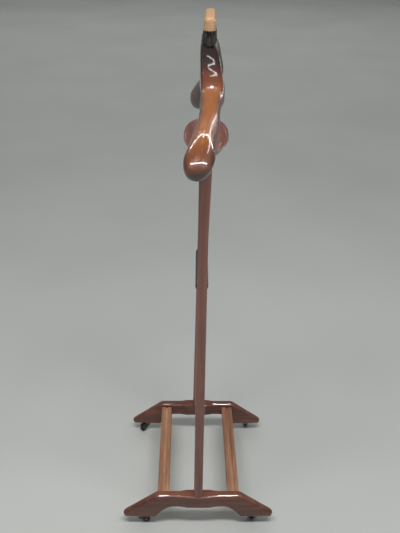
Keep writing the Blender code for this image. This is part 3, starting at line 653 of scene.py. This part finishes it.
def make_hanger(materials):
    round_start = HANGER_TIP - HANGER_END
    half = spread(0.0, HANGER_COARSE_END, 12) + spread(HANGER_FINE_START, round_start, 110)
    half += quarter(round_start, HANGER_END - 0.0001, 36)
    rings = [hanger_ring(x, 160) for x in mirrored(half)]
    hanger = new_object("coat_hanger_wood", loft(rings), 50)
    shade_hanger(hanger)
    finish_piece(hanger, materials["hanger"], "stand", "lacquered_wood", "coat_hanger")


# Posts, rails, crossbar, tray and trouser bar

POST_HALF_X = 0.013
POST_FRONT_Y = -0.0100
POST_BACK_Y = 0.0090
POST_FLARED_BACK_Y = 0.0135
POST_MID_Y = -0.0005
POST_STRAIGHT_Z = 0.10
POST_EASE = 0.04  # how much narrower its foot is, over the next length
POST_EASE_HEIGHT = 0.0015
POST_FLARE_START_Z = 0.70
POST_FLARE_END_Z = 0.90
POST_RADIUS = 0.004
POST_HEAD_Y = 0.00175  # the middle of the flared top


def post_outline(z):
    """The post's section, whose back moves out below the hanger."""
    flare = smooth_step((z - POST_FLARE_START_Z) / (POST_FLARE_END_Z - POST_FLARE_START_Z))
    back = POST_BACK_Y + (POST_FLARED_BACK_Y - POST_BACK_Y) * flare
    return rounded_rectangle(POST_HALF_X, POST_FRONT_Y, back, POST_RADIUS, POST_RADIUS)


def make_posts(materials):
    """Each post's top follows the hanger's underside; its foot edge is slightly eased."""
    foot_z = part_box("right_post")[0].z
    heights = [foot_z, foot_z + 0.0005, foot_z + 0.001, foot_z + 0.002]
    heights += spread(POST_STRAIGHT_Z, POST_FLARE_START_Z, 14)
    heights += spread(POST_FLARE_START_Z + 0.01, POST_FLARE_END_Z - 0.005, 24)
    for label, side in (("right", 1), ("left", -1)):
        x = side * HALF_SPAN
        rings = []
        for z in heights:
            ease = 1 - POST_EASE * max(0.0, 1 - (z - foot_z) / POST_EASE_HEIGHT)
            rings.append([(x + ease * u, ease * v, z) for u, v in post_outline(z)])
        for size in (1.0, 0.92, 0.75, 0.5, 0.2):
            ring = []
            for u, v in post_outline(1.0):
                y = POST_HEAD_Y + size * (v - POST_HEAD_Y)
                ring.append((x + size * u, y, hanger_underside(x + size * u, y) - GAP))
            rings.append(ring)
        post = new_object(f"{label}_post_wood", loft(rings))
        finish_piece(post, materials["lacquer_z"], "stand", "lacquered_wood", f"{label}_post")


RAIL_GROOVE = 0.0045
RAIL_GROOVE_SLOPE = 0.001
RAIL_GROOVE_DEPTH = 0.0025
RAIL_END_SIZE = 0.985
RAIL_END = 0.0004


def make_rails(materials):
    """Flat rails with a groove along the top and rounded upper edges."""
    for label in ("front", "rear"):
        lo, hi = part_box(f"{label}_shoe_rail")
        half, mid_y, mid_z = (hi.y - lo.y) / 2, (hi.y + lo.y) / 2, (lo.z + hi.z) / 2
        bed_y, bed_z = RAIL_GROOVE - RAIL_GROOVE_SLOPE, hi.z - RAIL_GROOVE_DEPTH
        corners = [(half, lo.z), (half, hi.z), (RAIL_GROOVE, hi.z), (bed_y, bed_z)]
        corners += [(-y, z) for y, z in reversed(corners)]
        radii = [0.0012, 0.0032, 0.0010, 0.0012]
        section = rounded_outline(corners, radii + radii[::-1])
        rings = []
        middle = spread(lo.x + 0.01, hi.x - 0.01, 16)
        for x in [lo.x, lo.x + RAIL_END] + middle + [hi.x - RAIL_END, hi.x]:
            size = RAIL_END_SIZE if x in (lo.x, hi.x) else 1
            rings.append([(x, mid_y + size * y, mid_z + size * (z - mid_z)) for y, z in section])
        rail = new_object(f"{label}_shoe_rail_wood", loft(rings))
        finish_piece(rail, materials["rail"], "stand", "rail_wood", f"{label}_shoe_rail")


def make_crossbar(materials):
    lo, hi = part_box("tray_crossbar")
    half_width, under_radius, top_radius = 0.009, 0.003, 0.001
    section = rounded_rectangle(half_width, lo.z, hi.z, under_radius, top_radius)
    rings = [[(x, y, z) for y, z in section] for x in spread(lo.x, hi.x, 20)]
    bar = new_object("tray_crossbar_wood", loft(rings))
    finish_piece(bar, materials["lacquer_x"], "stand", "lacquered_wood", "tray_crossbar")


TRAY_SQUARE = 2.3  # 2 is an ellipse, and more is squarer
TRAY_HALF_Y = 0.0435
TRAY_Y = 0.0015
TRAY_FLARE = 0.014
TRAY_RIM = 0.0045
TRAY_FLOOR = 0.005
TRAY_RIM_ROUND = 0.0018
TRAY_WALL = 0.86  # the share of its height where the wall meets the round rim


def tray_ring(half_x, inset, z, sides=128):
    """The tray's oval at a height, drawn in by inset."""
    points = []
    for k in range(sides):
        a = 2 * math.pi * k / sides
        u, v = math.cos(a), math.sin(a)
        reach = (abs(u) ** TRAY_SQUARE + abs(v) ** TRAY_SQUARE) ** (-1 / TRAY_SQUARE)
        y = TRAY_Y + reach * v * (TRAY_HALF_Y - inset)
        points.append((reach * u * (half_x - inset), y, z))
    return points


def make_tray(materials):
    """An oval dish: up its flared outside, over the round rim and down to the flat floor."""
    lo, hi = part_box("valet_tray")
    floor_z = lo.z + TRAY_FLOOR
    rise, depth = hi.z - lo.z, hi.z - floor_z
    profile = [(TRAY_FLARE + 0.001, lo.z), (TRAY_FLARE - 0.0002, lo.z + 0.0006)]
    for k in range(1, 14):
        t = k / 14 * TRAY_WALL
        profile.append((TRAY_FLARE * (1 - t**0.6), lo.z + rise * t))
    for k in range(9):
        a = math.pi * k / 8
        z = hi.z - TRAY_RIM_ROUND + TRAY_RIM_ROUND * math.sin(a)
        profile.append((TRAY_RIM / 2 * (1 - math.cos(a)), z))
    for k in range(1, 16):
        t = TRAY_WALL * (1 - k / 15)
        profile.append((TRAY_RIM + TRAY_FLARE * (1 - t**0.6), floor_z + depth * t))
    profile[-1] = (profile[-1][0] + 0.003, profile[-1][1])
    half_x = (hi.x - lo.x) / 2
    tray = new_object("valet_tray_wood", loft([tray_ring(half_x, i, z) for i, z in profile]), 50)
    finish_piece(tray, materials["lacquer_x"], "stand", "lacquered_wood", "valet_tray")


def make_trouser_bar(materials):
    lo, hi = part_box("trouser_bar")
    radius, long = (hi.z - lo.z) / 2, hi.x - lo.x
    y, z = POST_MID_Y, (lo.z + hi.z) / 2
    profile = eased([(0.0005, 0), (radius, 0), (radius, long), (0.0005, long)], 0.0010)
    bar = new_object("trouser_bar_wood", along(turned(profile), (lo.x, y, z), (hi.x, y, z)))
    finish_piece(bar, materials["lacquer_x"], "stand", "lacquered_wood", "trouser_bar")
    lo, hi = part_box("trouser_bar_sleeve")
    outer, inner, long = (hi.z - lo.z) / 2, radius + GAP, hi.x - lo.x
    corners = [(inner, 0), (outer, 0), (outer, long), (inner, long)]
    section = rounded_outline(corners, [0.0003, 0.0016, 0.0016, 0.0003])
    shape = along(turned(section, hollow=True), (lo.x, y, z), (hi.x, y, z))
    sleeve = new_object("trouser_bar_grip", shape)
    finish_piece(sleeve, materials["grip"], "stand", "grip_sleeve", "trouser_bar_sleeve")


# Clothes brush


# The back's outline as shares of its half width and height, from the middle of its base
BRUSH_OUTLINE = [(0.0, 0.0), (1.0, 0.0), (0.97, 0.30), (0.91, 0.62)]
BRUSH_OUTLINE += [(0.77, 0.86), (0.46, 0.975), (0.0, 1.0)]
BRUSH_HALF_WIDTH = 0.0106
BRUSH_END = 0.012
BRISTLE_ROOT_HALF = 0.0090
BRISTLE_THICK = 0.00034
BRISTLE_COLUMNS = 84
BRISTLE_ROWS = 15
BRISTLES_A_HOLE = 3


def between(p0, p1, p2, p3, t):
    """A smooth curve through p1 and p2 that heads for p0 and p3 beyond them."""
    square = 2 * p0 - 5 * p1 + 4 * p2 - p3
    cube = 3 * p1 - p0 - 3 * p2 + p3
    return 0.5 * (2 * p1 + (p2 - p0) * t + square * t * t + cube * t**3)


def brush_section(half, tall):
    """Outline of the brush's back: flat below, drawn in at the sides and crowned on top."""
    profile = BRUSH_OUTLINE
    fine = []
    for k in range(1, len(profile) - 1):
        a, b = profile[k], profile[k + 1]
        before = profile[k - 1] if k > 1 else a
        after = profile[k + 2] if k + 2 < len(profile) else (-b[0] * 0.5, b[1])
        for i in range(6):
            y, z = (between(*line, i / 6) for line in zip(before, a, b, after))
            fine.append((half * y, tall * z))
    right = [(half - 0.0006, 0.0), (half - 0.0002, 0.0002)] + fine[1:]
    left = [(-y, z) for y, z in reversed(right)]
    return right + [(0.0, tall)] + left


def make_brush_back(materials):
    lo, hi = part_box("brush_back")
    half_length = (hi.x - lo.x) / 2
    round_start = half_length - BRUSH_END
    half = spread(0.0, round_start, 20) + quarter(round_start, BRUSH_END, 14)
    rings = []
    for x in mirrored(half):
        t = max(0.0, (abs(x) - round_start) / BRUSH_END)
        width = BRUSH_HALF_WIDTH * math.sqrt(max(1 - t * t, 0.0)) + 0.0008
        tall = (hi.z - lo.z) * (1 - 0.10 * t * t)
        rings.append([(x, BRUSH_Y + y, lo.z + z) for y, z in brush_section(width, tall)])
    back = new_object("brush_back_wood", loft(rings), 60)
    finish_piece(back, materials["beech_x"], "clothes_brush", "brush_wood", "brush_back")


def make_bristles(materials):
    """Rows of separate bristles, and a solid core that closes the gaps between them."""
    lo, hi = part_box("brush_bristles")
    root_z, half_length = hi.z, (hi.x - lo.x) / 2
    radius = TROUGH_Z - lo.z
    bm = bmesh.new()
    rng = random.Random(7)
    for i in range(BRISTLE_COLUMNS):
        for j in range(BRISTLE_ROWS):
            for _ in range(BRISTLES_A_HOLE):
                px = (i + 0.5 + rng.uniform(-0.45, 0.45)) / BRISTLE_COLUMNS * 2 - 1
                py = (j + 0.5 + rng.uniform(-0.45, 0.45)) / BRISTLE_ROWS * 2 - 1
                add_bristle(bm, rng, px, py, half_length, root_z, radius)
    tufts = new_object("brush_bristle_tufts", bm, 80)
    finish_piece(tufts, materials["bristle"], "clothes_brush", "bristle", "brush_bristles")
    outline = [(0.0085, root_z), (-0.0085, root_z)]
    core = radius - 0.0022
    for k in range(25):
        a = math.pi + math.pi * k / 24
        outline.append((core * math.cos(a), TROUGH_Z + core * math.sin(a)))
    section = rounded_outline(outline, [0.0003] * len(outline), 1)
    ends = spread(lo.x + 0.0035, hi.x - 0.0035, 6)
    shape = loft([[(x, BRUSH_Y + y, z) for y, z in section] for x in ends])
    body = new_object("brush_bristle_core", shape)
    finish_piece(body, materials["bristle"], "clothes_brush", "bristle")


def add_bristle(bm, rng, px, py, half_length, root_z, radius):
    """One tapered bristle from its root under the back to its tip near the round outline."""
    angle = math.radians(-90 + 84 * py + rng.uniform(-3, 3))
    reach = radius * (1 - rng.uniform(0.0, 0.07))
    x = (half_length - 0.0003) * px
    root = Vector((x * 0.965, BRUSH_Y + BRISTLE_ROOT_HALF * py, root_z))
    tip = Vector((x, BRUSH_Y + reach * math.cos(angle), TROUGH_Z + reach * math.sin(angle)))
    tip.z = min(tip.z, root_z - 0.004)
    bow = Vector((x, BRUSH_Y + 0.0106 * py, TROUGH_Z + 0.30 * (root_z - TROUGH_Z)))
    turn = rng.uniform(0, 2)
    rows = []
    for t, size in ((0.0, 1.0), (0.5, 0.95), (1.0, 0.55)):
        middle = (1 - t) ** 2 * root + 2 * t * (1 - t) * bow + t * t * tip
        row = []
        for k in range(3):
            a = turn + 2 * math.pi * k / 3
            side = Vector((math.cos(a), math.sin(a) * 0.8, math.sin(a) * 0.6))
            row.append(bm.verts.new(middle + BRISTLE_THICK * size * side))
        rows.append(row)
    for low, high in zip(rows, rows[1:]):
        for k in range(3):
            j = (k + 1) % 3
            bm.faces.new((low[k], low[j], high[j], high[k]))
    bm.faces.new(rows[0])
    bm.faces.new(rows[-1])


# Castors, made about the swivel axis with the trail along +X, then put under each corner

CORNERS = ("front_right", "rear_right", "front_left", "rear_left")
FLANGE = 0.0014
AXLE_RADIUS = 0.0014
AXLE_HOLE_RADIUS = 0.0017
AXLE_HALF_LENGTH = 0.0064
WHEEL_HALF_WIDTH = 0.004
WHEEL_DISH = 0.0008  # how far its sides are sunk between hub and rim
FORK_HALF_WIDTH = 0.0062
FORK_EDGE = 0.0007
FORK_SLOT_HALF = 0.0047


def castor_place(corner):
    """The swivel axis on the floor, turned the way the castor trails, and where its axle is."""
    stem_lo, stem_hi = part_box(f"{corner}_castor_stem")
    wheel_lo, wheel_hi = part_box(f"{corner}_castor_wheel")
    stem, wheel = (stem_lo + stem_hi) / 2, (wheel_lo + wheel_hi) / 2
    stem.z = 0
    heading = math.atan2(wheel.y - stem.y, wheel.x - stem.x)
    trail = math.hypot(wheel.y - stem.y, wheel.x - stem.x)
    return Matrix.Translation(stem) @ Matrix.Rotation(heading, 4, "Z"), trail, wheel.z


def pin_profile(radius, low, high, flat):
    """Half-section of a round pin whose end faces start flat from the axis."""
    return [(flat, low), (radius, low), (radius, high), (flat, high)]


def make_socket(corner, place, stem_radius):
    lo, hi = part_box(f"{corner}_castor_socket")
    inner, flange_radius, step = stem_radius + GAP, (hi.x - lo.x) / 2, lo.z + FLANGE
    corners = [(inner, lo.z), (flange_radius, lo.z), (flange_radius, step)]
    corners += [(SOCKET_RADIUS, step), (SOCKET_RADIUS, hi.z), (inner, hi.z)]
    section = rounded_outline(corners, [0.0002, 0.0007, 0.0004, 0.0002, 0.0004, 0.0002], 4)
    bm = turned(section, 48, hollow=True)
    bm.transform(place)
    return new_object(f"{corner}_socket_steel", bm)


def make_stem(corner, place, radius):
    lo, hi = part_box(f"{corner}_castor_stem")
    bm = turned(eased(pin_profile(radius, lo.z, hi.z, 0.0004), 0.0006), 40)
    bm.transform(place)
    return new_object(f"{corner}_stem_steel", bm)


def make_axle(corner, centre):
    half = AXLE_HALF_LENGTH
    profile = eased(pin_profile(AXLE_RADIUS, -half, half, 0.0003), 0.0004)
    bm = along(turned(profile, 24), (0, 0, 0), (0, 1, 0))
    bm.transform(centre)
    return new_object(f"{corner}_axle_steel", bm)


def make_wheel(corner, centre, radius):
    """A hub that stands out a little, a sunk disc, a rim and a tread with eased edges."""
    half, bore = WHEEL_HALF_WIDTH, AXLE_RADIUS + GAP
    side = [(bore, -half - GAP), (0.0032, -half - GAP), (0.0036, WHEEL_DISH - half)]
    side += [(0.0063, WHEEL_DISH - half), (0.0068, -half)]
    side += [(radius - 0.0004, -half), (radius, 2 * WHEEL_DISH - half)]
    outline = side + [(r, -h) for r, h in reversed(side)]
    radii = [0.0001, 0.0004, 0.0003, 0.0003, 0.0004, 0.0010, 0.0008]
    section = rounded_outline(outline, radii + radii[::-1], 4)
    bm = along(turned(section, 72, hollow=True), (0, 0, 0), (0, 1, 0))
    bm.transform(centre)
    return new_object(f"{corner}_wheel_tread", bm, 50)


def fork_outline(trail, axle_z, top_z):
    """Its side view: a straight back, a round axle boss, and a nose over the wheel."""
    back, back_z, boss = -0.0050, 0.0160, 0.0040
    nose_x, nose_z, nose = 0.0085, 0.0145, 0.0120
    points = [(back, top_z), (back, back_z)]
    for k in range(17):
        a = math.radians(200 + 140 * k / 16)
        points.append((trail + boss * math.cos(a), axle_z + boss * math.sin(a)))
    for k in range(17):
        a = math.radians(5 + 80 * k / 16)
        points.append((nose_x + nose * math.cos(a), nose_z + (top_z - nose_z) * math.sin(a)))
    return rounded_outline(points, [0.0012, 0.0012] + [0.0002] * 34, 3)


def make_fork(corner, place, trail, axle_z, top_z, stem_radius):
    """A moulded fork with eased edges, a slot for the wheel, and holes for the stem and axle."""
    mid_x, mid_z = 0.008, 0.014
    half = FORK_HALF_WIDTH
    slices = []
    for k in range(5):
        a = math.pi / 2 * k / 4
        slices.append((-half + FORK_EDGE * (1 - math.cos(a)), FORK_EDGE * (1 - math.sin(a))))
    slices += [(-y, inset) for y, inset in reversed(slices)]
    rings = []
    for y, inset in slices:
        ring = []
        for x, z in fork_outline(trail, axle_z, top_z):
            away = Vector((x - mid_x, z - mid_z))
            away = away * (1 - inset / max(away.length, 0.004))
            ring.append((mid_x + away.x, y, mid_z + away.y))
        rings.append(ring)
    fork = new_object(f"{corner}_fork_plastic", loft(rings))
    slot = rounded_rectangle(FORK_SLOT_HALF, -0.010, 0.0190, 0.001, 0.0014, 4)
    cutters = [loft([[(x, y, z) for y, z in slot] for x in (stem_radius + 0.0010, 0.040)])]
    hole = [(AXLE_HOLE_RADIUS, -0.02), (AXLE_HOLE_RADIUS, 0.02)]
    axle = along(turned(hole, 24), (0, 0, 0), (0, 1, 0))
    axle.transform(Matrix.Translation((trail, 0, axle_z)))
    cutters.append(axle)
    cutters.append(turned([(stem_radius + GAP, 0.0), (stem_radius + GAP, 0.04)], 32))
    cut(fork, cutters)
    fork.data.transform(place)
    return fork


def make_castors(materials):
    steel, zinc = materials["steel"], "zinc_steel"
    for corner in CORNERS:
        place, trail, axle_z = castor_place(corner)
        centre = place @ Matrix.Translation((trail, 0, axle_z))
        stem_lo, stem_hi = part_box(f"{corner}_castor_stem")
        radius, top_z = (stem_hi.x - stem_lo.x) / 2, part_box(f"{corner}_castor_fork")[1].z
        castor, node = f"{corner}_castor", f"{corner}_castor_"
        socket = make_socket(corner, place, radius)
        finish_piece(socket, steel, "stand", zinc, node + "socket")
        stem = make_stem(corner, place, radius)
        finish_piece(stem, steel, castor, zinc, node + "stem")
        fork = make_fork(corner, place, trail, axle_z, top_z, radius)
        finish_piece(fork, materials["plastic"], castor, "castor_plastic", node + "fork")
        axle = make_axle(corner, centre)
        finish_piece(axle, steel, castor, zinc, node + "axle")
        wheel = make_wheel(corner, centre, axle_z)
        rolling = f"{corner}_wheel"
        finish_piece(wheel, materials["rubber"], rolling, "wheel_rubber", node + "wheel")


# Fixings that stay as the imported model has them


def paint_fixings(materials):
    for name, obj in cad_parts.items():
        if name.endswith("_dowel"):
            key = "dowel"
        elif name.endswith("_screw"):
            key = "steel"
        else:
            continue
        obj.data.materials.clear()
        obj.data.materials.append(materials[key])
        obj.data.shade_smooth()
        obj.data.set_sharp_from_angle(angle=math.radians(35))


# Camera, floor and lights


CAMERA_PLACE = (1.292, -0.032, 1.256)
CAMERA_PITCH, CAMERA_ROLL, CAMERA_YAW = math.radians(27.63), math.radians(1.00), math.radians(1.35)
SENSOR = 36  # along the picture's longer side
LENS = 46.3745


def make_camera():
    """Above one end of the stand, looking down along it."""
    level, down = math.cos(CAMERA_PITCH), math.sin(CAMERA_PITCH)
    forward = Vector((-math.cos(CAMERA_YAW) * level, math.sin(CAMERA_YAW) * level, -down))
    right = forward.cross(Vector((0, 0, 1))).normalized()
    up = right.cross(forward)
    turned_right = math.cos(CAMERA_ROLL) * right + math.sin(CAMERA_ROLL) * up
    turned_up = math.cos(CAMERA_ROLL) * up - math.sin(CAMERA_ROLL) * right
    data = bpy.data.cameras.new("camera")
    data.sensor_width = SENSOR
    data.lens = LENS
    data.clip_end = 100
    camera = bpy.data.objects.new("camera", data)
    axes = Matrix((turned_right, turned_up, -forward)).transposed().to_4x4()
    camera.matrix_world = Matrix.Translation(CAMERA_PLACE) @ axes
    bpy.context.scene.collection.objects.link(camera)
    bpy.context.scene.camera = camera


def make_floor():
    """A pale, level floor, large enough to fill the picture."""
    n = Nodes("floor_paper")
    tone = n.noise(n.scaled((1.0, 1.0, 1.0)), 1.2, 2.0, 0.5)
    n.tint(tone, linear(188, 191, 188), linear(196, 198, 195))
    n.set(roughness=0.55, specular_ior_level=0.2)
    bm = bmesh.new()
    bmesh.ops.create_grid(bm, x_segments=8, y_segments=8, size=16)
    floor = new_object("floor", bm)
    floor.data.materials.append(n.material)


def area_light(name, place, target, size, energy, sees, cone=180):
    """A rectangle of light that makes shade or highlights, and shines in a cone of degrees."""
    data = bpy.data.lights.new(name, "AREA")
    data.shape = "RECTANGLE"
    data.size, data.size_y = size
    data.energy = energy
    data.spread = math.radians(cone)
    light = bpy.data.objects.new(name, data)
    light.location = place
    light.rotation_euler = (Vector(target) - Vector(place)).to_track_quat("-Z", "Y").to_euler()
    light.visible_glossy = sees != "shade"
    light.visible_diffuse = sees != "highlight"
    bpy.context.scene.collection.objects.link(light)
    return light


def light_strip(name, points, target, width, radiance, cone=180):
    """A bent strip of light through points, seen only as a highlight on what faces it."""
    for k, (start, end) in enumerate(zip(points, points[1:])):
        middle, length = (start + end) / 2, (end - start).length
        energy = radiance * width * length
        light = area_light(f"{name}_{k}", middle, target, (length, width), energy, "highlight", cone)
        away = (middle - target).normalized()
        across = away.cross(end - start).normalized()
        light.rotation_euler = Matrix((across.cross(away), across, away)).transposed().to_euler()


PADDLE = Vector((0.225, -0.005, 0.92))  # the hanger's near end, which the arches light

# The high arch: its angle from overhead in degrees, and how far along X it leans there, as a share
# of its radius
ARCH_LEAN = [(-73, -0.61), (-59, -0.60), (-38, -0.41), (-2, -0.17), (32, -0.17)]
ARCH_LEAN += [(66, -0.45), (90, -0.58)]
ARCH_RADIUS = 1.7
LOW_ARC_RADIUS = 1.6


def high_arch():
    """An arch over the hanger, whose highlight bends round its near end."""
    points = []
    for over in spread(ARCH_LEAN[0][0], ARCH_LEAN[-1][0], 24):
        lean, turn = through(ARCH_LEAN, over), math.radians(over)
        flat = math.sqrt(1 - lean * lean)
        away = Vector((lean, flat * math.sin(turn), flat * math.cos(turn)))
        points.append(PADDLE + ARCH_RADIUS * away)
    return points


def low_arc():
    """A low arc round the near end, which sinks from the front to the hanger's own height."""
    points = []
    for t in spread(0, 1, 16):
        azimuth, rise = math.radians(-66 + 126 * t), math.radians(15 - 15 * t * t)
        away = Vector((math.cos(azimuth), math.sin(azimuth), math.tan(rise)))
        points.append(PADDLE + LOW_ARC_RADIUS * away.normalized())
    return points


def make_world():
    world = bpy.data.worlds.new("studio")
    world.use_nodes = True
    background = world.node_tree.nodes["Background"]
    background.inputs["Color"].default_value = (0.94, 0.97, 0.95, 1.0)
    background.inputs["Strength"].default_value = 0.17
    bpy.context.scene.world = world


def make_lights():
    """Soft light from above makes the shade; the rest makes only highlights in the lacquer."""
    area_light("main", (0.86, 0, 2.8), (0.86, 0, 0), (0.4, 2.6), 58, "shade")
    area_light("ceiling", (-2.2, 0, 4.2), (-2.2, 0, 0), (6.0, 6.0), 48, "shade")
    area_light("distance", (-7.0, 0, 4.6), (-7.0, 0, 0), (5.0, 9.0), 120, "shade")
    for name, y, target_y, width, energy in (
        ("rear_foot_line", 0.22, 0.075, 0.18, 0.35),
        ("front_foot_line", -0.19, -0.09, 0.16, 0.30),
    ):
        place, target = (-0.1, y, 2.6), (-0.1, target_y, 0.09)
        area_light(name, place, target, (0.8, width), energy, "highlight", 6.5)
    area_light("arm_strip", (-0.4, 2.5, 1.7), (-0.4, 0, 0.9), (3.0, 0.10), 16, "highlight")
    light_strip("arch", high_arch(), PADDLE, 0.15, 0.16, 5.4)
    light_strip("low_arc", low_arc(), PADDLE, 0.07, 15.0, 60)
    area_light("neck_strip", (1.5, 0.35, 2.2), (0.08, 0, 1.0), (0.34, 0.03), 0.45, "highlight")


def main():
    bpy.context.scene.view_settings.view_transform = "Standard"
    make_camera()
    materials = make_materials()
    make_feet(materials)
    make_posts(materials)
    make_rails(materials)
    make_hanger(materials)
    make_crossbar(materials)
    make_tray(materials)
    make_trouser_bar(materials)
    make_brush_back(materials)
    make_bristles(materials)
    make_castors(materials)
    paint_fixings(materials)
    make_floor()
    make_world()
    make_lights()


main()
